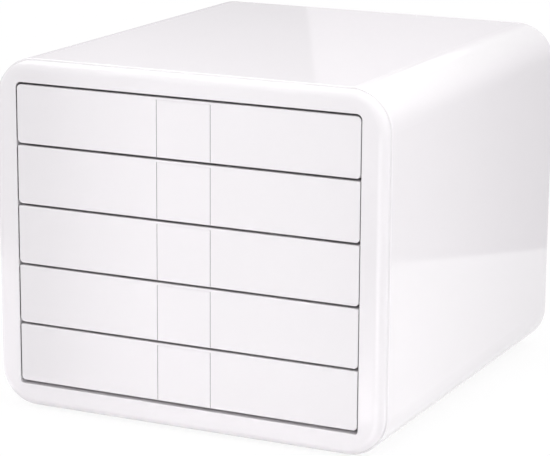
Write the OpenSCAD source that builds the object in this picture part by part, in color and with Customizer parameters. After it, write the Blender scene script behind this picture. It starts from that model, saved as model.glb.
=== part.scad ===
// Desktop drawer box for A4 and C4 papers. A moulded housing holds closed drawers on two runner
// panels, and each drawer has a rocking pull set flush in the middle of its front.
// Millimetres. The box stands on the XY plane, centred on the origin, with its front towards -Y.

/* [Housing] */
// Outer width of the housing
box_w = 329; // [300:1:380]
// Depth from the face of the front frame to the back
box_d = 357; // [330:1:420]
// Rounding of the four long edges
corner_r = 32; // [24:1:40]
// Wall of the housing
wall = 3; // [2.5:0.1:4]
// Rounding of the edge round the back
back_edge_r = 6; // [4.5:0.5:12]
// Rounding of the housing's front edge, behind the frame
shell_edge_r = 1.6; // [0.5:0.1:2]
// Opening to the outside of the housing, at each side
side_band = 20.5; // [18:0.5:28]
// Top of the opening to the top of the housing
top_band = 17.7; // [16:0.1:28]
// Bottom of the opening to the underside of the housing
bottom_band = 19.2; // [16:0.1:28]

/* [Front frame] */
// Step from the side of the frame out to the side of the housing
frame_inset = 1.2; // [0.5:0.1:2]
// How far the frame's outer skirt reaches back
frame_d = 7.5; // [7.5:0.5:14]
// Rounding of the frame's front edge
frame_edge_r = 7; // [3.5:0.5:7.5]
// Thickness of the frame's moulded skin
frame_t = 2.6; // [2:0.1:3]
// Width of the groove between frame and housing
groove_w = 0.3; // [0.3:0.1:3]
// Depth of that groove below the side of the housing
groove_depth = 2.4; // [2.1:0.1:2.5]
// Rounding of the opening's two upper corners
opening_top_r = 4.4; // [2:0.1:8]
// Rounding of the opening's two lower corners
opening_bottom_r = 2.6; // [1.2:0.1:4]
// Rounding of the edge round the opening
opening_edge_r = 0.6; // [0.3:0.1:1]
// Wall of the lip that runs back round the opening
lip_t = 2; // [1.5:0.1:2.5]
// Reach of that lip behind the face
lip_d = 10; // [9:0.5:14]
// Wall of the spigot that plugs into the housing
spigot_t = 2; // [1.5:0.1:2.5]
// Reach of the spigot into the housing
spigot_l = 12; // [10:0.5:16]
// Width of a snap on the spigot
snap_w = 16; // [8:1:24]
// Height of a snap
snap_h = 0.8; // [0.5:0.1:1.2]
// Length of a snap from its catch to the end of its ramp
snap_l = 4; // [3:0.5:6]
// Distance from one snap to the next
snap_pitch = 84; // [60:1:90]

/* [Drawers] */
// Number of drawers
drawers = 5; // [2:1:6]
// Height of a drawer front
front_h = 45.5; // [40:0.1:60]
// Gap between one front and the next, and above the top one
gap = 1.8; // [1:0.1:2.5]
// Gap below the lowest front
bottom_gap = 2.6; // [1:0.1:4]
// Gap at each side of a front
side_gap = 0.7; // [0.6:0.1:1.5]
// How far the fronts sit behind the face of the frame
front_recess = 0.4; // [0:0.1:2]
// Thickness of a front's face
front_t = 2.5; // [2:0.1:3]
// Skirt round the back of a front
skirt_t = 1.8; // [1.5:0.1:2.2]
// Depth of a front with its skirt
front_d = 16; // [15:0.5:22]
// Rounding of the edges of a front's face
front_edge_r = 1; // [0.4:0.1:1]
// Rounding of a front's lower corners
front_bottom_r = 3.6; // [2:0.1:6]
// Rounding of a front's upper corners, below the top drawer
front_top_r = 1.2; // [1.1:0.1:3]
// Wall and floor of a tray
tray_t = 1.8; // [1.5:0.1:2.5]
// Height of a tray's side walls
tray_h = 37; // [30:0.5:37.5]
// Rounding inside a tray's corners
tray_r = 6; // [3:0.5:15]
// Space from the face of a front to the plate that closes its tray
plate_depth = 11.6; // [11.6:0.1:12]
// Space behind a tray when it is shut
rear_space = 10; // [8:0.5:20]
// How far a drawer opens before it meets its stops
travel = 265; // [200:1:270]
// Width of the clip that joins tray and front
clip_w = 14; // [8:1:24]
// Distance of the clips from the middle
clip_x = 84; // [50:1:110]

/* [Runners] */
// Thickness of a runner panel
panel_t = 2; // [1.6:0.1:2.5]
// Reach of its ledges under the trays' rims
ledge_w = 8; // [7:0.5:12]
// Thickness of a ledge
ledge_t = 2; // [1.5:0.1:2.5]
// Height of a tray's rim, which hooks over the ledge
rim_h = 6; // [5:0.5:9]
// Clearance of a rim above and beside its ledge
run_gap = 0.5; // [0.3:0.1:0.8]
// Width of the stop peg on a ledge
peg_w = 2.4; // [2:0.1:3]
// Length of the stop peg, and of the stops behind a tray
stop_l = 3; // [2:0.5:5]
// Thickness of the stiffening ribs outside a panel
rib_t = 1.6; // [1.2:0.1:2.5]
// Number of those ribs
ribs = 6; // [3:1:9]
// Height of the channels that hold a panel to floor and roof
channel_h = 8; // [5:0.5:9]
// Thickness of a channel's walls
channel_t = 1.5; // [1:0.1:2.5]

/* [Pulls] */
// Width of a pull
pull_w = 44.6; // [36:0.1:60]
// Thickness of a pull's plate
pull_t = 2.2; // [2:0.1:2.3]
// Joint between a pull and its front at each side
pull_joint = 0.3; // [0.3:0.1:0.6]
// Gap between the curved top of a pull and the front over it
pull_top_gap = 0.15; // [0.1:0.05:0.4]
// Rounding of the upright edges at that joint
joint_edge_r = 0.3; // [0.2:0.1:0.6]
// Height from the top of a pull's face down to its pivot
pivot_drop = 14; // [12:0.5:18]
// Depth of the pivot behind the face of a pull
pivot_depth = 3.4; // [3.3:0.1:3.6]
// Rounding of a pull's bottom edge
pull_edge_r = 0.9; // [0.8:0.1:1]
// Radius of the pivot pin
pin_r = 0.75; // [0.6:0.05:0.8]
// Outer radius of a knuckle round the pin
knuckle_r = 2.2; // [2:0.1:2.4]
// Length of a knuckle
knuckle_l = 3; // [2:0.5:5]
// Thickness of the ears that hold the pin
ear_t = 2; // [1.5:0.1:3]
// Clearance between a knuckle and its ear
ear_gap = 0.5; // [0.3:0.1:1]
// Depth of the bead that the fingers pull on
bead_d = 1.2; // [0.8:0.1:2]
// Diameter of the return spring's wire
wire_d = 0.5; // [0.4:0.05:0.6]
// Distance from one turn of the spring to the next
coil_pitch = 0.95; // [0.9:0.05:1.4]
// Whole turns of the spring
coil_turns = 4; // [3:1:7]
// Lean of the spring's rear arm from upright
arm_lean = 37; // [32:1:50]
// Height of the spring's front arm above the pivot
arm_l = 9; // [6:0.5:11]

/* [Feet] */
// Radius of a foot
foot_r = 8; // [5:0.5:12]
// Height of the housing above what it stands on
foot_proud = 1; // [1:0.1:4]
// Depth that a foot is let into the underside
foot_recess = 0.5; // [0.3:0.1:1]
// Radius of the peg on a foot
foot_peg_r = 2.5; // [1.5:0.1:4]
// Distance of the feet from the housing's sides
foot_inset_x = 49.5; // [45:0.5:70]
// Distance of the feet from front and back
foot_inset_y = 42; // [34:1:80]

/* [Fits] */
// Clearance between moulded pieces that plug together
fit = 0.2; // [0.1:0.05:0.3]
// Radial clearance of a pivot on its pin, and of a foot's peg
pin_fit = 0.05; // [0.02:0.01:0.1]

/* [Hidden] */
pitch = front_h + gap;
opening_w = box_w - 2 * side_band;
opening_h = drawers * pitch + bottom_gap;
box_h = bottom_band + opening_h + top_band;
base_z = foot_proud;
mid_z = base_z + box_h / 2;
opening_z = base_z + bottom_band;
front_y = -box_d / 2;
back_y = box_d / 2;
shell_depth = frame_d + groove_w;
spigot_x = wall + fit;
face_inset = max(frame_inset + frame_edge_r, spigot_x + spigot_t);

front_w = opening_w - 2 * side_gap;
face_y = front_y + front_recess;
plate_y = face_y + plate_depth;
tray_back_y = back_y - wall - rear_space;
rim_y = face_y + front_d + run_gap;
tray_half_w = opening_w / 2 - ledge_w - run_gap;
rim_half_w = opening_w / 2 - run_gap;
tray_lift = skirt_t + fit;
plate_h = front_h - 2 * tray_lift;
ledge_top = tray_lift + tray_h - rim_h - fit;
upper_ledge = tray_lift + tray_h + run_gap;
peg_y = tray_back_y - tray_t - travel - stop_l - fit;
panel_y = front_y + lip_d + fit;
panel_full_y = front_y + shell_depth + spigot_l + run_gap;
panel_back_y = back_y - wall - fit;

swing_r = norm([pivot_drop, pivot_depth]);
window_r = swing_r + pull_top_gap;
window_top = front_h - skirt_t;
pivot_z = window_top - sqrt(window_r * window_r - pivot_depth * pivot_depth);
coil_r = pin_r + pin_fit + 0.1 + wire_d / 2;
window_half_w = pull_w / 2 + pull_joint;
ear_x = pull_w / 2 + ear_gap;
spring_space = coil_r + wire_d / 2 + pin_fit;
coil_sweep = 360 * coil_turns + 180 - arm_lean;
coil_l = coil_pitch * coil_sweep / 360;
rear_arm_l = (plate_depth - pivot_depth - pin_fit - (coil_r + wire_d / 2) * cos(arm_lean)) / sin(arm_lean);
foot_x = box_w / 2 - foot_inset_x;
foot_y = box_d / 2 - foot_inset_y;

$fn = 48;
small_fn = 24;
coil_steps = 12;
wire_sides = 6;
least_r = 0.5;
over = 1;

white = "#f4f4f6";
inner_white = "#e9e9ec";
steel = "#b9bcc2";
rubber = "#55575b";

numbers = [for (n = [1:drawers]) n];
FEET = ["foot_front_left", "foot_front_right", "foot_back_left", "foot_back_right"];

// Height of the bottom edge of a drawer's front; drawer 1 is the top one
function drawer_z(n) = opening_z + bottom_gap + (drawers - n) * pitch;

// ---- Shared shapes ----

// Turns a shape drawn as (across, up, deep) to stand upright, deep running back from the front
module upright() {
    rotate([90, 0, 0]) mirror([0, 0, 1]) children();
}

// Extrudes a side view drawn as (deep, up) across the box, centred on the middle
module across(w) {
    rotate([90, 0, 90]) linear_extrude(w, center = true) children();
}

// Rectangle centred on the origin, its upper and lower corners rounded apart
module outline(w, h, r_top, r_bottom) {
    translate([-w / 2, -h / 2 + r_bottom]) square([w, h - r_top - r_bottom]);
    for (end = [[1, r_top], [-1, r_bottom]]) {
        translate([0, end[0] * (h - end[1]) / 2]) square([w - 2 * end[1], end[1]], center = true);
        for (s = [-1, 1])
            translate([s * (w / 2 - end[1]), end[0] * (h / 2 - end[1])]) circle(r = end[1]);
    }
}

// Carries a section round such a rectangle: the section's x is 0 at the edge and negative inside
module ring(w, h, r_top, r_bottom) {
    for (end = [[0, r_top], [1, r_bottom]])
        mirror([0, end[0], 0]) {
            for (s = [0, 1])
                mirror([s, 0, 0])
                    translate([w / 2 - end[1], h / 2 - end[1], 0])
                        rotate_extrude(angle = 90) translate([end[1], 0]) children();
            translate([end[1] - w / 2, h / 2, 0])
                rotate([0, 0, 90]) rotate([90, 0, 0]) linear_extrude(w - 2 * end[1]) children();
        }
    for (s = [0, 1])
        mirror([s, 0, 0])
            translate([w / 2, h / 2 - r_top, 0])
                rotate([90, 0, 0]) linear_extrude(h - r_top - r_bottom) children();
}

// What a rounding takes off the corner at the origin, from a shape that lies towards -x and +y
module corner_cut(r) {
    difference() {
        translate([-r, -over]) square([r + over, r + over]);
        translate([-r, r]) circle(r = r);
    }
}

// Section that ends at x = 0 and starts at y = 0, with the corner between the two rounded
module soft_corner(w, d, r) {
    difference() {
        translate([-w, 0]) square([w, d]);
        corner_cut(r);
    }
}

// Block on such a rectangle, with the edges round its first face rounded
module soft_block(w, h, d, r_top, r_bottom, edge_r) {
    ring(w, h, r_top, r_bottom) soft_corner(edge_r, d, edge_r);
    linear_extrude(d) outline(w - 2 * edge_r, h - 2 * edge_r, r_top - edge_r, r_bottom - edge_r);
}

// ---- Housing ----

// Wall of the housing with its rounded ends, and the back as far as the corners' centres
module shell_section() {
    difference() {
        translate([0, box_d]) mirror([0, 1]) soft_corner(corner_r, box_d - shell_depth, back_edge_r);
        translate([0, shell_depth]) corner_cut(shell_edge_r);
        translate([-wall, box_d - wall]) mirror([0, 1]) soft_corner(corner_r, box_d, back_edge_r - wall);
    }
}

// Everything inside the housing's outline, drawn in by some margin
module housing_core(margin) {
    w = box_w - 2 * margin;
    h = box_h - 2 * margin;
    r = corner_r - margin;
    translate([0, back_y - margin, mid_z]) mirror([0, 1, 0]) upright()
        soft_block(w, h, box_d - margin, r, r, back_edge_r - margin);
}

// Two walls on floor or roof that hold the edge of a runner panel between them
module channel() {
    channel_l = back_y - wall / 2 - panel_full_y;
    for (x = [opening_w / 2 - fit - channel_t, opening_w / 2 + panel_t + fit])
        translate([x, panel_full_y, base_z]) cube([channel_t, channel_l, wall + channel_h]);
}

// Snaps on the frame's spigot; with a margin, the pockets that they click into
module snaps(margin) {
    half_w = box_w / 2 - spigot_x;
    half_h = box_h / 2 - spigot_x;
    translate([0, 0, mid_z]) for (s = [-1, 1]) {
        for (x = [-snap_pitch, 0, snap_pitch])
            rotate([0, s < 0 ? 180 : 0, 0]) translate([x, 0, half_h]) snap(margin);
        for (z = [-snap_pitch / 2, snap_pitch / 2])
            rotate([0, s * 90, 0]) translate([z, 0, half_w]) snap(margin);
    }
}

module snap(margin) {
    catch_y = front_y + shell_depth + spigot_l / 2;
    top = fit + snap_h;
    across(snap_w + 2 * margin) translate([catch_y, 0])
        if (margin > 0)
            translate([-margin, -over]) square([snap_l + 2 * margin, over + top + margin]);
        else
            polygon([[0, -over], [snap_l, -over], [snap_l, 0], [snap_l / 4, top], [0, top]]);
}

module feet_places() {
    for (x = [-1, 1], y = [-1, 1]) translate([x * foot_x, y * foot_y, 0]) children();
}

module housing_shell() {
    color(white) difference() {
        union() {
            translate([0, front_y, mid_z]) upright() {
                ring(box_w, box_h, corner_r, corner_r) shell_section();
                translate([0, 0, box_d - wall / 2])
                    cube([box_w - 2 * corner_r, box_h - 2 * corner_r, wall], center = true);
            }
            intersection() {
                housing_core(wall / 2);
                for (s = [0, 1], t = [0, 1])
                    translate([0, 0, mid_z]) mirror([s, 0, 0]) mirror([0, 0, t]) translate([0, 0, -mid_z])
                        channel();
            }
        }
        snaps(fit);
        feet_places() {
            translate([0, 0, base_z - over]) cylinder(r = foot_r + fit, h = over + foot_recess);
            translate([0, 0, base_z]) cylinder(r = foot_peg_r + pin_fit, h = wall + over);
        }
    }
}

// Skin of the frame, its land in the groove, and the spigot behind it
module frame_section() {
    inner_x = spigot_x + spigot_t;
    flange_x = frame_inset + frame_t / 2;
    translate([-frame_inset, 0]) difference() {
        soft_corner(face_inset - frame_inset, frame_d, frame_edge_r);
        translate([-frame_t, frame_t]) soft_corner(corner_r, box_d, frame_edge_r - frame_t);
    }
    translate([-inner_x, frame_d - frame_t]) square([inner_x - flange_x, frame_t]);
    translate([-inner_x, frame_d - frame_t]) square([inner_x - groove_depth, frame_t + groove_w]);
    translate([-inner_x, frame_d]) square([spigot_t, groove_w + spigot_l]);
}

module opening_outline(margin) {
    w = opening_w + 2 * margin;
    h = opening_h + 2 * margin;
    outline(w, h, opening_top_r + margin, opening_bottom_r + margin);
}

module front_frame() {
    face_r = corner_r - face_inset;
    opening_shift = opening_z + opening_h / 2 - mid_z;
    color(white) {
        translate([0, front_y, mid_z]) upright() difference() {
            union() {
                ring(box_w, box_h, corner_r, corner_r) frame_section();
                linear_extrude(frame_t) difference() {
                    outline(box_w - 2 * face_inset, box_h - 2 * face_inset, face_r, face_r);
                    translate([0, opening_shift]) opening_outline(0);
                }
                translate([0, opening_shift, 0]) linear_extrude(lip_d) difference() {
                    opening_outline(lip_t);
                    opening_outline(0);
                }
            }
            translate([0, opening_shift, 0])
                ring(opening_w, opening_h, opening_top_r, opening_bottom_r)
                    mirror([1, 0]) corner_cut(opening_edge_r);
        }
        snaps(0);
    }
}

module foot() {
    color(rubber) {
        cylinder(r = foot_r, h = foot_proud + foot_recess);
        cylinder(r = foot_peg_r, h = foot_proud + wall);
    }
}

// ---- Runners ----

// Ledges, stop peg and rear stops for one drawer, on the right-hand panel
module runner(n) {
    inner_x = opening_w / 2 - ledge_w;
    translate([inner_x, 0, drawer_z(n)]) {
        for (z = [ledge_top - ledge_t, upper_ledge])
            translate([0, rim_y, z]) cube([ledge_w + panel_t / 2, panel_back_y - rim_y, ledge_t]);
        translate([(ledge_w - tray_t - peg_w) / 2, peg_y, ledge_top - ledge_t / 2])
            cube([peg_w, stop_l, rim_h - tray_t + ledge_t / 2]);
        translate([0, tray_back_y + run_gap, ledge_top - ledge_t / 2])
            cube([ledge_w + panel_t / 2, stop_l, upper_ledge - ledge_top + ledge_t]);
    }
}

module runner_panel() {
    x0 = opening_w / 2;
    rib_low = base_z + wall + channel_h + run_gap;
    rib_high = base_z + box_h - wall - channel_h - run_gap;
    rib_step = (panel_back_y - rib_t - panel_full_y) / (ribs - 1);
    color(inner_white) {
        translate([x0, panel_y, opening_z]) cube([panel_t, panel_full_y + over - panel_y, opening_h]);
        intersection() {
            housing_core(wall + fit);
            union() {
                translate([x0, panel_full_y, 0]) cube([panel_t, panel_back_y - panel_full_y, 2 * mid_z]);
                for (i = [0:ribs - 1])
                    translate([x0 + panel_t / 2, panel_full_y + i * rib_step, rib_low])
                        cube([side_band, rib_t, rib_high - rib_low]);
            }
        }
        for (n = numbers) runner(n);
    }
}

// ---- Drawers ----

// Rim along one side of a tray: top, outer lip, and the closed end that meets the stop peg
module tray_rim() {
    rim_w = rim_half_w - tray_half_w;
    rim_l = tray_back_y - rim_y;
    translate([tray_half_w, rim_y, tray_h - tray_t]) cube([rim_w, rim_l, tray_t]);
    translate([rim_half_w - tray_t, rim_y, tray_h - rim_h]) cube([tray_t, rim_l, rim_h]);
    translate([tray_half_w, tray_back_y - tray_t, tray_h - rim_h]) cube([rim_w, tray_t, rim_h]);
}

// Clips on the plate's upper and lower edges; with a margin, the slots in the front's skirt
module clips(margin) {
    root = plate_h / 2 - tray_t;
    reach = margin > 0 ? front_h / 2 + over : front_h / 2 - fit;
    for (x = [-clip_x, clip_x], t = [0, 1])
        translate([x, plate_y, front_h / 2]) mirror([0, 0, t])
            translate([-clip_w / 2 - margin, -margin, root])
                cube([clip_w + 2 * margin, tray_t + 2 * margin, reach - root]);
}

module drawer_tray(n) {
    inner_w = 2 * (tray_half_w - tray_t);
    inner_l = tray_back_y - plate_y - 2 * tray_t;
    plate_w = front_w - 2 * tray_lift;
    plate_r = max(front_bottom_r - tray_lift, least_r);
    color(inner_white) translate([0, 0, drawer_z(n)]) {
        translate([0, 0, tray_lift]) {
            difference() {
                translate([-tray_half_w, plate_y, 0])
                    cube([2 * tray_half_w, tray_back_y - plate_y, tray_h]);
                translate([0, plate_y + tray_t + inner_l / 2, tray_t])
                    linear_extrude(tray_h) outline(inner_w, inner_l, tray_r, tray_r);
            }
            for (s = [0, 1]) mirror([s, 0, 0]) tray_rim();
        }
        translate([0, plate_y, front_h / 2]) upright() linear_extrude(tray_t)
            outline(plate_w, plate_h, plate_r, plate_r);
        clips(0);
    }
}

// Ear beside the window that holds one end of the pivot pin
module pin_ear() {
    translate([ear_x, face_y, pivot_z]) difference() {
        union() {
            translate([0, pivot_depth, 0]) rotate([0, 90, 0]) cylinder(r = knuckle_r, h = ear_t);
            translate([0, front_t / 2, -2 * knuckle_r])
                cube([ear_t, pivot_depth - front_t / 2, 4 * knuckle_r]);
        }
        translate([-over, pivot_depth, 0])
            rotate([0, 90, 0]) cylinder(r = pin_r + pin_fit, h = ear_t + 2 * over);
    }
}

// Window of a front, over its whole height below the strip that arches over the pull
module window() {
    across(2 * window_half_w) translate([face_y, 0]) {
        translate([-over, -over]) square([front_t + over, pivot_z + over]);
        intersection() {
            translate([-over, pivot_z]) square([front_d, front_h]);
            translate([pivot_depth, pivot_z]) circle(r = window_r);
        }
    }
    for (s = [0, 1])
        mirror([s, 0, 0])
            translate([window_half_w, face_y, -over])
                linear_extrude(window_top + over) mirror([1, 0]) corner_cut(joint_edge_r);
}

module drawer_front(n) {
    r_top = n == 1 ? opening_top_r - side_gap : front_top_r;
    inner_w = front_w - 2 * skirt_t;
    inner_h = front_h - 2 * skirt_t;
    inner_top_r = max(r_top - skirt_t, least_r);
    inner_bottom_r = max(front_bottom_r - skirt_t, least_r);
    color(white) translate([0, 0, drawer_z(n)]) {
        difference() {
            translate([0, face_y, front_h / 2]) upright() difference() {
                soft_block(front_w, front_h, front_d, r_top, front_bottom_r, front_edge_r);
                translate([0, 0, front_t]) linear_extrude(front_d)
                    outline(inner_w, inner_h, inner_top_r, inner_bottom_r);
            }
            window();
            clips(fit);
        }
        for (s = [0, 1]) mirror([s, 0, 0]) pin_ear();
    }
}

// ---- Pulls ----

// Side view of a pull: its plate, curved round the pivot at the top, and the bead for the fingers
module pull_section() {
    bead_z = skirt_t + ear_gap + bead_d;
    mirror([1, 0]) soft_corner(pull_t, pivot_z, pull_edge_r);
    intersection() {
        translate([0, pivot_z]) square([pull_t, swing_r]);
        translate([pivot_depth, pivot_z]) circle(r = swing_r);
    }
    translate([pull_t, bead_z]) circle(r = bead_d);
}

// Side view of the web that stiffens each side of a pull, from its bead up to its knuckle
module web_section() {
    bead_z = skirt_t + ear_gap + bead_d;
    polygon([
        [pull_t / 2, bead_z],
        [pull_t + bead_d, bead_z],
        [pivot_depth + knuckle_r, pivot_z],
        [pull_t / 2, pivot_z + knuckle_r]
    ]);
}

module pull(n) {
    relief_w = coil_l + wire_d + 2 * ear_gap;
    relief_y = pivot_depth - spring_space;
    color(white) translate([0, face_y, drawer_z(n)]) difference() {
        union() {
            across(pull_w) pull_section();
            for (s = [-1, 1]) {
                translate([s * (pull_w - knuckle_l) / 2, pivot_depth, pivot_z])
                    rotate([0, 90, 0]) cylinder(r = knuckle_r, h = knuckle_l, center = true);
                translate([s * (pull_w - knuckle_l / 2) / 2, 0, 0]) across(knuckle_l / 2) web_section();
            }
        }
        translate([0, pivot_depth, pivot_z])
            rotate([0, 90, 0]) cylinder(r = pin_r + pin_fit, h = pull_w + 2 * over, center = true);
        translate([-relief_w / 2, relief_y, pivot_z - spring_space])
            cube([relief_w, pull_t, spring_space + arm_l + ear_gap]);
        for (s = [0, 1])
            mirror([s, 0, 0])
                translate([pull_w / 2, 0, -over]) linear_extrude(front_h + over) corner_cut(joint_edge_r);
    }
}

module pull_pin(n) {
    color(steel) translate([0, face_y + pivot_depth, drawer_z(n) + pivot_z])
        rotate([0, 90, 0]) cylinder(r = pin_r, h = 2 * (ear_x + ear_t), center = true);
}

// One cross-section of the spring's wire: at a place along the pin and an angle round it, or
// drawn on from there along the wire's own direction
function wire_ring(x, angle, onward) = [
    for (k = [0:wire_sides - 1])
        let (turn = 360 * k / wire_sides, r = coil_r + wire_d / 2 * cos(turn))
        [
            x + wire_d / 2 * sin(turn),
            r * cos(angle) - onward * sin(angle),
            r * sin(angle) + onward * cos(angle)
        ]
];

// Centre of the wire at one step along the coil
function coil_point(i, steps) = [
    coil_l * (i / steps - 0.5),
    coil_r * cos(180 + coil_sweep * i / steps),
    coil_r * sin(180 + coil_sweep * i / steps)
];

module pull_spring(n) {
    steps = round(coil_sweep / 360 * coil_steps);
    turns_apart = [
        for (i = [0:steps - coil_steps - 2], j = [-2:2])
            norm(coil_point(i + coil_steps + j, steps) - coil_point(i, steps)) - wire_d
    ];
    if (n == 1) echo(least_gap_between_turns = min(turns_apart));
    rings = concat(
        [wire_ring(-coil_l / 2, 180, -arm_l)],
        [for (i = [0:steps]) wire_ring(coil_l * (i / steps - 0.5), 180 + coil_sweep * i / steps, 0)],
        [wire_ring(coil_l / 2, 180 + coil_sweep, rear_arm_l)]
    );
    last = (len(rings) - 1) * wire_sides;
    sides = [
        for (i = [0:len(rings) - 2], k = [0:wire_sides - 1])
            let (a = i * wire_sides + k, b = i * wire_sides + (k + 1) % wire_sides)
            each [[a, b, b + wire_sides], [a, b + wire_sides, a + wire_sides]]
    ];
    ends = [for (k = [1:wire_sides - 2]) each [[0, k + 1, k], [last, last + k, last + k + 1]]];
    color(steel) translate([0, face_y + pivot_depth, drawer_z(n) + pivot_z])
        polyhedron(points = [for (r = rings) each r], faces = concat(sides, ends));
}

housing_shell();
front_frame();
mirror([1, 0, 0]) runner_panel();  // runner_panel_left
runner_panel();  // runner_panel_right
translate([-foot_x, -foot_y, 0]) foot();  // foot_front_left
translate([foot_x, -foot_y, 0]) foot();  // foot_front_right
translate([-foot_x, foot_y, 0]) foot();  // foot_back_left
translate([foot_x, foot_y, 0]) foot();  // foot_back_right
for (n = numbers) {
    drawer_tray(n);
    drawer_front(n);
    pull(n);
    pull_pin(n);
    pull_spring(n);
}
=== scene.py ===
import math

import bpy
import numpy as np
from mathutils import Matrix, Vector


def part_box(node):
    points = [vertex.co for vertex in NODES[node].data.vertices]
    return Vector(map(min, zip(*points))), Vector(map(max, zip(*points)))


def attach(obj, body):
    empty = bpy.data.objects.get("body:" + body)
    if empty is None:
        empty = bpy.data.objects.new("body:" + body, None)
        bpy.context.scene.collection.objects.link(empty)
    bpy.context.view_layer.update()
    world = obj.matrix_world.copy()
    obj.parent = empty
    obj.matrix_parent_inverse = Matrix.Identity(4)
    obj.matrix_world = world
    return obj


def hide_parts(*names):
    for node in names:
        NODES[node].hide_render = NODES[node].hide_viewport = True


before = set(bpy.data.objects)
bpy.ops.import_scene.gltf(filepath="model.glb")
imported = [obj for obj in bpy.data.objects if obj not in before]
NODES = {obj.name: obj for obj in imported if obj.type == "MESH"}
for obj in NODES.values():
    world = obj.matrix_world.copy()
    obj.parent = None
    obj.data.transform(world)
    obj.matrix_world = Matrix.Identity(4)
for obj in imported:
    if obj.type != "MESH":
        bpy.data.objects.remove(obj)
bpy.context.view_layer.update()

# ---- The picture ----
# The box stands on a white sweep and is seen from the front right, a little above its top. A long
# lens on a camera nearly two metres off keeps its edges almost parallel.
FACE_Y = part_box("front_frame")[0].y
CAMERA_ROUND = math.radians(25.62)
CAMERA_ABOVE = math.radians(13.58)
CAMERA_ROLL = math.radians(0.365)
CAMERA_DISTANCE = 1.7489
CAMERA_AIM = Vector((0.0760, FACE_Y, 0.1690))
CAMERA_LENS_MM = 156.65
CAMERA_SENSOR_MM = 36
CAMERA_CLIP = 0.05

camera_back = Vector((
    math.sin(CAMERA_ROUND) * math.cos(CAMERA_ABOVE),
    -math.cos(CAMERA_ROUND) * math.cos(CAMERA_ABOVE),
    math.sin(CAMERA_ABOVE),
))
camera_right = Vector((math.cos(CAMERA_ROUND), math.sin(CAMERA_ROUND), 0))
camera_turn = Matrix((camera_right, camera_back.cross(camera_right), camera_back)).transposed()
camera_data = bpy.data.cameras.new("camera")
camera_data.lens = CAMERA_LENS_MM
camera_data.sensor_width = CAMERA_SENSOR_MM
camera_data.clip_start = CAMERA_CLIP
camera = bpy.data.objects.new("camera", camera_data)
camera.matrix_world = (
    Matrix.Translation(CAMERA_AIM + camera_back * CAMERA_DISTANCE)
    @ (camera_turn @ Matrix.Rotation(CAMERA_ROLL, 3, "Z")).to_4x4()
)
bpy.context.scene.collection.objects.link(camera)
bpy.context.scene.camera = camera
bpy.context.scene.view_settings.view_transform = "Standard"

# The sweep is white paper. The camera and clear reflections see it as plain white with a faint
# share of its real shading, which keeps the box's shadow.
FLOOR_HALF = 6.0
FLOOR_WHITE = (0.93, 0.92, 0.93)
FLOOR_SHADED_SHARE = 0.12
FLOOR_PLAIN_LEVEL = 1.02
SKY_LEVEL = 0.947


def flat_sheet(name, rows):
    """A sheet spread between rows of points, each row with as many points as the next. Each four
    neighbours, two in one row and two in the next, are the corners of one face."""
    points = np.array(rows, dtype=float)
    count, width = points.shape[:2]
    i, j = np.meshgrid(np.arange(count - 1), np.arange(width - 1), indexing="ij")
    first = i * width + j
    faces = np.stack([first, first + 1, first + width + 1, first + width], -1).reshape(-1, 4)
    mesh = bpy.data.meshes.new(name)
    mesh.from_pydata(points.reshape(-1, 3).tolist(), [], faces.tolist())
    sheet = bpy.data.objects.new(name, mesh)
    bpy.context.scene.collection.objects.link(sheet)
    return sheet


def worked_out(tree, operation, first, second):
    """The result of a Math node on two sockets or numbers."""
    node = tree.nodes.new("ShaderNodeMath")
    node.operation = operation
    for value, socket in ((first, node.inputs[0]), (second, node.inputs[1])):
        if isinstance(value, (int, float)):
            socket.default_value = value
        else:
            tree.links.new(value, socket)
    return node.outputs[0]


def seen_clearly(tree):
    """The share 1 for rays from the camera, from gloss and through clear things, and else 0."""
    rays = tree.nodes.new("ShaderNodeLightPath").outputs
    straight_or_gloss = worked_out(tree, "MAXIMUM", rays["Is Camera Ray"], rays["Is Glossy Ray"])
    return worked_out(tree, "MAXIMUM", straight_or_gloss, rays["Is Transmission Ray"])


floor = flat_sheet(
    "floor", [[(x * FLOOR_HALF, y * FLOOR_HALF, 0) for x in (-1, 1)] for y in (-1, 1)]
)
paper = bpy.data.materials.new("paper_white")
paper.use_nodes = True
sheet_tree = paper.node_tree
matt = sheet_tree.nodes["Principled BSDF"]
matt.inputs["Base Color"].default_value = (*FLOOR_WHITE, 1)
matt.inputs["Roughness"].default_value = 1
matt.inputs["Specular IOR Level"].default_value = 0
plain_white = sheet_tree.nodes.new("ShaderNodeEmission")
plain_white.inputs["Strength"].default_value = FLOOR_PLAIN_LEVEL
plain_share = worked_out(sheet_tree, "MULTIPLY", seen_clearly(sheet_tree), 1 - FLOOR_SHADED_SHARE)
sheet_mix = sheet_tree.nodes.new("ShaderNodeMixShader")
sheet_tree.links.new(plain_share, sheet_mix.inputs["Fac"])
sheet_tree.links.new(matt.outputs[0], sheet_mix.inputs[1])
sheet_tree.links.new(plain_white.outputs[0], sheet_mix.inputs[2])
sheet_tree.links.new(sheet_mix.outputs[0], sheet_tree.nodes["Material Output"].inputs["Surface"])
floor.data.materials.append(paper)

world = bpy.data.worlds.new("world")
world.use_nodes = True
bpy.context.scene.world = world
sky = world.node_tree
sky_light = sky.nodes["Background"]
sky_light.inputs["Color"].default_value = (1, 1, 1, 1)
sky_light.inputs["Strength"].default_value = SKY_LEVEL
sky_seen = sky.nodes.new("ShaderNodeBackground")
sky_seen.inputs["Color"].default_value = (1, 1, 1, 1)
sky_seen.inputs["Strength"].default_value = 1
sky_mix = sky.nodes.new("ShaderNodeMixShader")
sky.links.new(seen_clearly(sky), sky_mix.inputs["Fac"])
sky.links.new(sky_light.outputs[0], sky_mix.inputs[1])
sky.links.new(sky_seen.outputs[0], sky_mix.inputs[2])
sky.links.new(sky_mix.outputs[0], sky.nodes["World Output"].inputs["Surface"])

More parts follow.
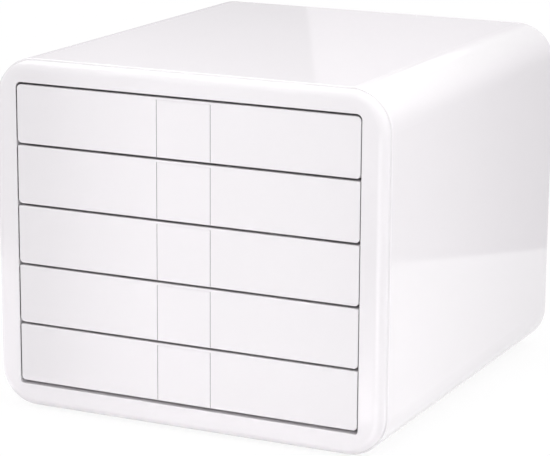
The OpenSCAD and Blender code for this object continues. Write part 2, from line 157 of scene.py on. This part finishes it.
# ---- The light ----
# Soft lamps light the box from above and in front. They don't show in its gloss: as is usual for
# gloss, what it mirrors is set apart from them with bright and dim cards that light nothing.
BOX_MIDDLE = (0, 0, 0.14)
RIGHT_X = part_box("housing_shell")[1].x
SOFTBOX_SIDE = 0.4
LOW_LAMP_SIZE = (0.8, 0.06)
STRIP_SIZE = (0.05, 0.8)


def softbox(name, place, aim, size, watts, spread=math.pi):
    """A soft studio lamp turned to its aim and kept out of reflections. A grid may narrow its spread."""
    lamp_data = bpy.data.lights.new(name, "AREA")
    lamp_data.shape = "RECTANGLE"
    lamp_data.size, lamp_data.size_y = size
    lamp_data.energy = watts
    lamp_data.spread = spread
    lamp = bpy.data.objects.new(name, lamp_data)
    lamp.location = place
    lamp.rotation_euler = (Vector(aim) - Vector(place)).to_track_quat("-Z", "Y").to_euler()
    lamp.visible_camera = False
    lamp.visible_glossy = False
    bpy.context.scene.collection.objects.link(lamp)


CARD_TINT = (1, 0.96, 1)


def card(name, rows, levels):
    """A flat card that only reflections see. Each row of its points, or each point, has a level, where
    1 is as bright as the white sweep, and between them the level runs evenly."""
    sheet = flat_sheet(name, rows)
    level_rows = np.array(levels, dtype=float).reshape(len(rows), -1)
    level_values = np.broadcast_to(level_rows, (len(rows), len(rows[0]))).ravel()
    sheet.data.attributes.new("level", "FLOAT", "POINT").data.foreach_set("value", level_values)
    material = bpy.data.materials.new(name)
    material.use_nodes = True
    tree = material.node_tree
    level = tree.nodes.new("ShaderNodeAttribute")
    level.attribute_name = "level"
    glow = tree.nodes.new("ShaderNodeEmission")
    glow.inputs["Color"].default_value = (*CARD_TINT, 1)
    tree.links.new(level.outputs["Fac"], glow.inputs["Strength"])
    tree.links.new(glow.outputs[0], tree.nodes["Material Output"].inputs["Surface"])
    sheet.data.materials.append(material)
    sheet.visible_camera = False
    sheet.visible_diffuse = False
    sheet.visible_transmission = False
    sheet.visible_volume_scatter = False
    sheet.visible_shadow = False


softbox("front_lamp", (0, -0.6, 0.8), BOX_MIDDLE, (SOFTBOX_SIDE, SOFTBOX_SIDE), 0.12)
softbox("top_lamp", (0.1, -0.1, 0.9), BOX_MIDDLE, (SOFTBOX_SIDE, SOFTBOX_SIDE), 0.52)
softbox("low_lamp", (0, -1.1, 0.05), (0, FACE_Y, 0.03), LOW_LAMP_SIZE, 0.04)
for name, place, aim, watts, spread in (
    ("left_strip", (-0.01, -1.16, 0.83), (-0.01, FACE_Y, 0.14), 0.0405, 19),
    ("right_strip", (0.1, -1.16, 0.83), (0.1, FACE_Y, 0.14), 0.0595, 28),
    ("near_side_strip", (1.19, -0.02, 0.74), (RIGHT_X, -0.2, 0.14), 0.12, 33),
    ("far_side_strip", (1.2, -0.25, 0.74), (RIGHT_X, -0.25, 0.14), 0.127, 50),
):
    softbox(name, place, aim, STRIP_SIZE, watts, math.radians(spread))

CEILING_Z = 1.5
BACK_Y = 1.5
FAR_Y = 2.5
CARD_LIFT = 0.002


def on_ceiling(*points):
    """Points given by x and y, at the height of the overhead cards."""
    return [(x, y, CEILING_Z) for x, y in points]


def on_back(*points):
    """Points given by x and z, in the plane of the cards behind the box."""
    return [(x, BACK_Y, z) for x, z in points]


def on_far(*points):
    """Points given by x and z, in the plane where the dim floor card ends."""
    return [(x, FAR_Y, z) for x, z in points]


def on_floor(*points):
    """Points given by x and y, just over the floor."""
    return [(x, y, CARD_LIFT) for x, y in points]


# Overhead, with the middle left open so that the top of the box isn't too bright from above. They
# show in the upper rounding of the frame and in its corners.
card(
    "overhead_card",
    [
        on_ceiling((-1.6, -0.45), (-0.36, -0.45)),
        on_ceiling((-1.6, 1), (-0.36, 1)),
    ],
    [3, 3],
)
card(
    "corner_top_card",
    [
        on_ceiling((0.36, -0.45), (1.5, -0.45)),
        on_ceiling((0.36, 0.7), (0.8, 0.7)),
    ],
    [3, 3],
)

# Behind the box: the first two show in its flat top, and the bright one in its long right rounding.
card(
    "back_left_card",
    [
        on_back((-3, 0), (-3, 1)),
        on_back((-1.1, 0), (-0.95, 1)),
        on_back((-0.9, 0), (-0.75, 1)),
        on_back((-0.752, 0), (-0.603, 1)),
    ],
    [0.79, 0.79, 0.7, 0.67],
)
card(
    "back_card",
    [
        on_back((-0.752, 0), (-0.1, 0)),
        on_back((-0.645, 0.72), (-0.1, 0.72)),
    ],
    [0.84, 0.84],
)
card(
    "edge_card",
    [
        on_back((-0.33, 0.75), (-0.08, 0.85), (0.16, 0.98), (0.49, 0.99), (0.7, 0.9), (1.0, 0.66)),
        on_back((-0.34, 0.81), (-0.1, 0.94), (0.12, 1.08), (0.54, 1.1), (0.84, 1.02), (1.2, 0.78)),
        on_back((-0.34, 0.97), (-0.1, 1.1), (0.14, 1.23), (0.62, 1.27), (1.0, 1.2), (1.4, 0.95)),
        on_back((-0.36, 1.5), (-0.1, 1.5), (0.2, 1.5), (0.6, 1.5), (1.0, 1.5), (1.4, 1.5)),
    ],
    [1, 3.2, 1.9, 1.9],
)

# On the floor in front and at the right: they show in the right-hand and lower roundings.
card(
    "low_card",
    [
        on_floor((0.148, -0.19), (-0.06, -1.48)),
        on_floor((0.154, -0.19), (0.12, -1.5)),
        on_floor((0.160, -0.19), (0.5, -1.48)),
        on_floor((0.166, -0.19), (0.72, -1.42)),
    ],
    [1, 3.6, 3.6, 1],
)
card(
    "corner_card",
    [
        on_floor((0.17, -0.187), (0.85, -1.25)),
        on_floor((0.176, -0.185), (1.15, -0.95)),
        on_floor((0.18, -0.175), (1.45, 0.1)),
        on_floor((0.18, -0.165), (1.1, 0.55)),
    ],
    [1, 0.27, 0.27, 0.5],
)
card(
    "base_card",
    [
        on_floor((-0.19, -0.25), (0.14, -0.25)),
        on_floor((-0.148, -0.182), (0.14, -0.182)),
    ],
    [1.05, 1.95],
)


def mirrored_line(x, *depths):
    """Floor points that the camera sees mirrored in the flat front at its place x. Its line of sight
    bends back there as from a mirror and runs on in plan as a straight line, as deep as each depth."""
    from_camera = Vector((x, FACE_Y, 0)) - camera.matrix_world.translation
    return [(x + from_camera.x / from_camera.y * depth, FACE_Y - depth, CARD_LIFT) for depth in depths]


# On the floor in front: they show in the drawer fronts and the flat face of the frame.
card(
    "face_card",
    [mirrored_line(x, 0.072, 1.32) for x in (-0.145, -0.12, -0.085, -0.03, 0.03)],
    [0.1, 0.1, 1, 1.5, 1],
)
card(
    "brow_card",
    [mirrored_line(x, 1.33, 2.6) for x in (-0.13, -0.09, 0.04, 0.08)],
    [1, 0.3, 0.3, 1],
)
BAND_DEPTHS = (0.08, 0.27, 0.42, 0.6, 0.92, 1.32)
BAND_LEVELS = (4, 1.9, 1, 0.4, 1.4, 1.4)
card(
    "band_card",
    [mirrored_line(x, *BAND_DEPTHS) for x in (0.1455, 0.158)],
    [BAND_LEVELS, BAND_LEVELS],
)

# On the floor at the left: it shows in the frame's left-hand rounding.
card(
    "left_card",
    [
        on_floor((-0.1525, -0.19), (-0.364, -0.53), (-0.439, -0.65)),
        on_floor((-0.1656, -0.19), (-0.381, -0.53), (-0.456, -0.65)),
        on_floor((-0.168, -0.185), (-0.52, -0.38), (-0.62, -0.44)),
        on_floor((-0.17, -0.17), (-0.57, -0.11), (-0.69, -0.09)),
        on_floor((-0.17, -0.14), (-0.47, 0.1), (-0.56, 0.18)),
        on_floor((-0.17, -0.1), (-0.3, 0.35), (-0.33, 0.5)),
    ],
    [[2.5, 2.5, 1], [2.5, 2.5, 1], [2.3, 2.3, 1], [1.9, 1.9, 1], [1.35, 1.35, 1], [1.2, 1.2, 1]],
)

# On the floor at the right, and standing at its far end: the right side of the box mirrors them.
card(
    "dim_floor_card",
    [
        on_floor((1.27, -0.643), (-1.489, FAR_Y)),
        on_floor((3.5, -0.643), (3.5, FAR_Y)),
    ],
    [0.535, 0.535],
)
card(
    "dim_back_card",
    [
        on_far((0.1, 0), (3.5, 0)),
        on_far((0.1, 1), (3.5, 1)),
    ],
    [0.5, 1],
)

# ---- Housing ----
# One moulded tube of high-gloss white plastic with a closed back. Its long edges and the edges at
# both ends are rounded, and it comes out of a polished mould, so it mirrors its surroundings.
DRAWERS = sum(name.startswith("drawer_tray_") for name in NODES)
MOUTH_MARGIN = 0.005
PLASTIC_IOR = 1.5
PATCHES_A_METRE = 60
PATCH_DETAIL = 3
PATCH_ROUGHNESS = (0.8, 1.3)
WAVE_DETAIL = 2
# Painted shade: in narrow joints and corners the plastics' colour is darkened towards this shade by an
# ambient occlusion node within this reach, in place of real shade.
PAINTED_JOINT_SHADE = (0.004, 0.003, 0.004)
PAINTED_SHADE_REACH = 0.003
PAINTED_SHADE_SAMPLES = 8
PAINTED_SHADE_OPENNESS = (0.15, 0.45)
GLOSS_WHITE = (0.84, 0.819, 0.84)
GLOSS_ROUGHNESS = 0.055
GLOSS_WAVE_SIZE = 0.09
GLOSS_WAVE_DEPTH = 0.00003


def unshaded_outside_mouth(tree, place):
    """1 beyond the mouth that the drawers fill, where the painted shade is left out, so that the groove
    behind the frame stays light.
    """
    low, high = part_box(f"drawer_front_{DRAWERS}")[0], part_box("drawer_front_1")[1]
    axes = tree.nodes.new("ShaderNodeSeparateXYZ")
    tree.links.new(place, axes.inputs[0])
    across = worked_out(tree, "ABSOLUTE", axes.outputs["X"], 0)
    upward = worked_out(tree, "SUBTRACT", axes.outputs["Z"], (low.z + high.z) / 2)
    beyond_side = worked_out(tree, "GREATER_THAN", across, high.x + MOUTH_MARGIN)
    beyond_top = worked_out(
        tree, "GREATER_THAN", worked_out(tree, "ABSOLUTE", upward, 0), (high.z - low.z) / 2 + MOUTH_MARGIN
    )
    return worked_out(tree, "MAXIMUM", beyond_side, beyond_top)


def moulded_plastic(name, colour, roughness, wave_size, wave_depth, unshaded_places=None):
    """Plastic with the slight waves that a mould leaves and fine patches that shine a little less.
    Its colour also carries painted shade: where a narrow joint or corner shuts out the light, as an
    ambient occlusion node finds it, the colour sinks to a dark painted shade while the share of open
    space round it falls through the openness range, apart from the places that the last argument marks
    with 1."""
    material = bpy.data.materials.new(name)
    material.use_nodes = True
    tree = material.node_tree
    shader = tree.nodes["Principled BSDF"]
    shader.inputs["IOR"].default_value = PLASTIC_IOR
    place = tree.nodes.new("ShaderNodeTexCoord")
    patches = tree.nodes.new("ShaderNodeTexNoise")
    patches.inputs["Scale"].default_value = PATCHES_A_METRE
    patches.inputs["Detail"].default_value = PATCH_DETAIL
    dull = tree.nodes.new("ShaderNodeMapRange")
    dull.inputs["To Min"].default_value = roughness * PATCH_ROUGHNESS[0]
    dull.inputs["To Max"].default_value = roughness * PATCH_ROUGHNESS[1]
    waves = tree.nodes.new("ShaderNodeTexNoise")
    waves.inputs["Scale"].default_value = 1 / wave_size
    waves.inputs["Detail"].default_value = WAVE_DETAIL
    bump = tree.nodes.new("ShaderNodeBump")
    bump.inputs["Strength"].default_value = 1
    bump.inputs["Distance"].default_value = wave_depth
    occlusion_for_painted_shade = tree.nodes.new("ShaderNodeAmbientOcclusion")
    occlusion_for_painted_shade.inputs["Distance"].default_value = PAINTED_SHADE_REACH
    occlusion_for_painted_shade.samples = PAINTED_SHADE_SAMPLES
    unshaded_share = tree.nodes.new("ShaderNodeMapRange")
    unshaded_share.interpolation_type = "SMOOTHSTEP"
    unshaded_share.inputs["From Min"].default_value = PAINTED_SHADE_OPENNESS[0]
    unshaded_share.inputs["From Max"].default_value = PAINTED_SHADE_OPENNESS[1]
    painted_shade_tone = tree.nodes.new("ShaderNodeMix")
    painted_shade_tone.data_type = "RGBA"
    painted_shade_tone.inputs["A"].default_value = (*PAINTED_JOINT_SHADE, 1)
    painted_shade_tone.inputs["B"].default_value = (*colour, 1)
    tree.links.new(place.outputs["Object"], patches.inputs["Vector"])
    tree.links.new(patches.outputs["Fac"], dull.inputs["Value"])
    tree.links.new(dull.outputs["Result"], shader.inputs["Roughness"])
    tree.links.new(place.outputs["Object"], waves.inputs["Vector"])
    tree.links.new(waves.outputs["Fac"], bump.inputs["Height"])
    tree.links.new(bump.outputs["Normal"], shader.inputs["Normal"])
    tree.links.new(occlusion_for_painted_shade.outputs["AO"], unshaded_share.inputs["Value"])
    unpainted_share = unshaded_share.outputs["Result"]
    if unshaded_places:
        unpainted_share = worked_out(tree, "MAXIMUM", unpainted_share, unshaded_places(tree, place.outputs["Object"]))
    tree.links.new(unpainted_share, painted_shade_tone.inputs["Factor"])
    tree.links.new(painted_shade_tone.outputs["Result"], shader.inputs["Base Color"])
    return material


def finish(node, material):
    """Gives a CAD node its finish."""
    NODES[node].data.materials.clear()
    NODES[node].data.materials.append(material)


# The housing and frame carry painted shade in their narrow joints, except beyond the drawer mouth.
gloss_white = moulded_plastic(
    "gloss_white", GLOSS_WHITE, GLOSS_ROUGHNESS, GLOSS_WAVE_SIZE, GLOSS_WAVE_DEPTH, unshaded_outside_mouth
)
finish("housing_shell", gloss_white)

# ---- Front frame ----
# A ring of the same gloss plastic that snaps into the mouth of the housing with its spigot. Its
# front edge is rounded deep, and a fine groove parts it from the housing.
finish("front_frame", gloss_white)

# ---- Drawer fronts and pulls ----
# Each front is a shallow moulded box clipped to its tray. The pull in its window is a plate of the
# same plastic on a steel pin, set flush, which rocks its lower edge out for the fingers.
TOP_JOINT_HEIGHT = 0.001
SIDE_JOINT = 0.0005


def unshaded_over_pulls(tree, place):
    """1 along the closed joint over each pull, where the painted joint shade is left out. The distance to
    the nearest of these joints comes from the height, which repeats from drawer to drawer."""
    pull_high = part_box("pull_1")[1]
    pitch = pull_high.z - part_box("pull_2")[1].z
    axes = tree.nodes.new("ShaderNodeSeparateXYZ")
    tree.links.new(place, axes.inputs[0])
    across = worked_out(tree, "ABSOLUTE", axes.outputs["X"], 0)
    height = worked_out(tree, "SUBTRACT", axes.outputs["Z"], pull_high.z)
    from_joint = worked_out(tree, "PINGPONG", height, pitch / 2)
    near_joint = worked_out(tree, "LESS_THAN", from_joint, TOP_JOINT_HEIGHT)
    in_width = worked_out(tree, "LESS_THAN", across, pull_high.x - SIDE_JOINT)
    return worked_out(tree, "MULTIPLY", near_joint, in_width)


# The fronts and pulls carry painted shade in the gaps between them, except along the joint over each
# pull.
front_white = moulded_plastic(
    "front_white", GLOSS_WHITE, GLOSS_ROUGHNESS, GLOSS_WAVE_SIZE, GLOSS_WAVE_DEPTH, unshaded_over_pulls
)
for n in range(1, DRAWERS + 1):
    finish(f"drawer_front_{n}", front_white)
    finish(f"pull_{n}", front_white)

# ---- Trays and runners ----
# The trays and the two panels that carry them are satin plastic, moulded in a plain tool whose fine
# spark-eroded grain stays on the surface.
SATIN_WHITE = (0.78, 0.755, 0.78)
SATIN_ROUGHNESS = 0.38
SATIN_GRAIN = 0.0006
SATIN_GRAIN_DEPTH = 0.00002

satin_white = moulded_plastic("satin_white", SATIN_WHITE, SATIN_ROUGHNESS, SATIN_GRAIN, SATIN_GRAIN_DEPTH)
for n in range(1, DRAWERS + 1):
    finish(f"drawer_tray_{n}", satin_white)
for side in ("left", "right"):
    finish(f"runner_panel_{side}", satin_white)

# ---- Pivot pins ----
# Cut from drawn steel wire and pressed through the ears beside each window. Drawing leaves fine
# streaks along the wire.
STEEL = (0.62, 0.61, 0.62)
STREAK_SQUEEZE = 0.02
STREAKS_A_METRE = 4000
STREAK_ROUGHNESS = (0.18, 0.34)
STREAK_DEPTH = 0.000005


def drawn_steel(name):
    """Bright steel wire with streaks along the X axis, the way the pins lie: a noise stretched along
    X, which sets the roughness and a shallow bump."""
    material = bpy.data.materials.new(name)
    material.use_nodes = True
    tree = material.node_tree
    shader = tree.nodes["Principled BSDF"]
    shader.inputs["Base Color"].default_value = (*STEEL, 1)
    shader.inputs["Metallic"].default_value = 1
    place = tree.nodes.new("ShaderNodeTexCoord")
    squeeze = tree.nodes.new("ShaderNodeMapping")
    squeeze.inputs["Scale"].default_value = (STREAK_SQUEEZE, 1, 1)
    streaks = tree.nodes.new("ShaderNodeTexNoise")
    streaks.inputs["Scale"].default_value = STREAKS_A_METRE
    shine = tree.nodes.new("ShaderNodeMapRange")
    shine.inputs["To Min"].default_value = STREAK_ROUGHNESS[0]
    shine.inputs["To Max"].default_value = STREAK_ROUGHNESS[1]
    bump = tree.nodes.new("ShaderNodeBump")
    bump.inputs["Strength"].default_value = 1
    bump.inputs["Distance"].default_value = STREAK_DEPTH
    tree.links.new(place.outputs["Object"], squeeze.inputs["Vector"])
    tree.links.new(squeeze.outputs["Vector"], streaks.inputs["Vector"])
    tree.links.new(streaks.outputs["Fac"], shine.inputs["Value"])
    tree.links.new(shine.outputs["Result"], shader.inputs["Roughness"])
    tree.links.new(streaks.outputs["Fac"], bump.inputs["Height"])
    tree.links.new(bump.outputs["Normal"], shader.inputs["Normal"])
    return material


wire_steel = drawn_steel("wire_steel")
for n in range(1, DRAWERS + 1):
    finish(f"pull_pin_{n}", wire_steel)

# ---- Return springs ----
# A torsion spring of steel wire is wound round the middle of each pin. Its rear arm rests on the
# tray's plate and its front arm lies behind the pull, and goes with it when the pull rocks.
WIRE_R = 0.00025
COIL_R = 0.00115
COIL_PITCH = 0.00095
ARM_LEAN = math.radians(37)
COIL_TURNS = 4
COIL_SWEEP = COIL_TURNS * math.tau + math.pi - ARM_LEAN
COIL_START = math.pi
FRONT_ARM = 0.009
JOIN_TURN = math.radians(30)
STEPS_A_TURN = 28
WIRE_SIDES = 10


def spring_wire(name, centre, turned, before, after):
    """Round wire along a helix about the X axis, from one angle turned to another, drawn straight
    on at its ends along the wire's own direction. A point of the helix at the angle a lies at the
    coil's radius times (cos a, sin a) in Y and Z, and the wire's surface adds the wire's radius
    times (radial direction x cos k + X direction x sin k) for k round the wire."""
    angles = np.linspace(*turned, max(2, round(abs(turned[1] - turned[0]) / math.tau * STEPS_A_TURN)))
    onward = np.zeros_like(angles)
    if before:
        angles = np.insert(angles, 0, angles[0])
        onward = np.insert(onward, 0, -before)
    if after:
        angles = np.append(angles, angles[-1])
        onward = np.append(onward, after)
    along = COIL_PITCH * (angles - COIL_SWEEP / 2) / math.tau
    around = COIL_START + angles
    k = np.arange(WIRE_SIDES) * math.tau / WIRE_SIDES
    radius = COIL_R + WIRE_R * np.cos(k)
    x = along[:, None] + WIRE_R * np.sin(k)
    y = radius * np.cos(around)[:, None] - (onward * np.sin(around))[:, None]
    z = radius * np.sin(around)[:, None] + (onward * np.cos(around))[:, None]
    points = np.stack([x, y, z], -1).reshape(-1, 3) + np.array(centre)
    rings = len(angles)
    i, j = np.meshgrid(np.arange(rings - 1), np.arange(WIRE_SIDES), indexing="ij")
    a = i * WIRE_SIDES + j
    b = i * WIRE_SIDES + (j + 1) % WIRE_SIDES
    faces = np.stack([a, b, b + WIRE_SIDES, a + WIRE_SIDES], -1).reshape(-1, 4).tolist()
    last = (rings - 1) * WIRE_SIDES
    faces.append(list(range(WIRE_SIDES))[::-1])
    faces.append([last + side for side in range(WIRE_SIDES)])
    mesh = bpy.data.meshes.new(name)
    mesh.from_pydata(points.tolist(), [], faces)
    mesh.shade_smooth()
    mesh.materials.append(wire_steel)
    wire = bpy.data.objects.new(name, mesh)
    bpy.context.scene.collection.objects.link(wire)
    return wire


for n in range(1, DRAWERS + 1):
    pin_low, pin_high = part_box(f"pull_pin_{n}")
    spring_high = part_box(f"pull_spring_{n}")[1]
    pin_middle = (pin_low + pin_high) / 2
    behind_coil = spring_high.y - pin_middle.y - (COIL_R + WIRE_R) * math.cos(ARM_LEAN)
    rear_arm = behind_coil / math.sin(ARM_LEAN)
    coil = spring_wire(f"spring_coil_{n}", pin_middle, (0, COIL_SWEEP), 0, rear_arm)
    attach(coil, f"drawer_{n}")
    arm = spring_wire(f"spring_arm_{n}", pin_middle, (0, JOIN_TURN), FRONT_ARM, 0)
    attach(arm, f"pull_{n}")
    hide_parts(f"pull_spring_{n}")
    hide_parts(f"pull_spring_{n}")

# ---- Feet ----
# Four discs of black rubber with a peg that is pressed into the floor of the housing. Their faces
# are matt and a little rough, so that the box doesn't slide.
RUBBER_BLACK = (0.03, 0.03, 0.031)
RUBBER_ROUGHNESS = 0.8
RUBBER_GRAIN = 0.0008
RUBBER_GRAIN_DEPTH = 0.00006

rubber = moulded_plastic("foot_rubber", RUBBER_BLACK, RUBBER_ROUGHNESS, RUBBER_GRAIN, RUBBER_GRAIN_DEPTH)
for name in NODES:
    if name.startswith("foot_"):
        finish(name, rubber)
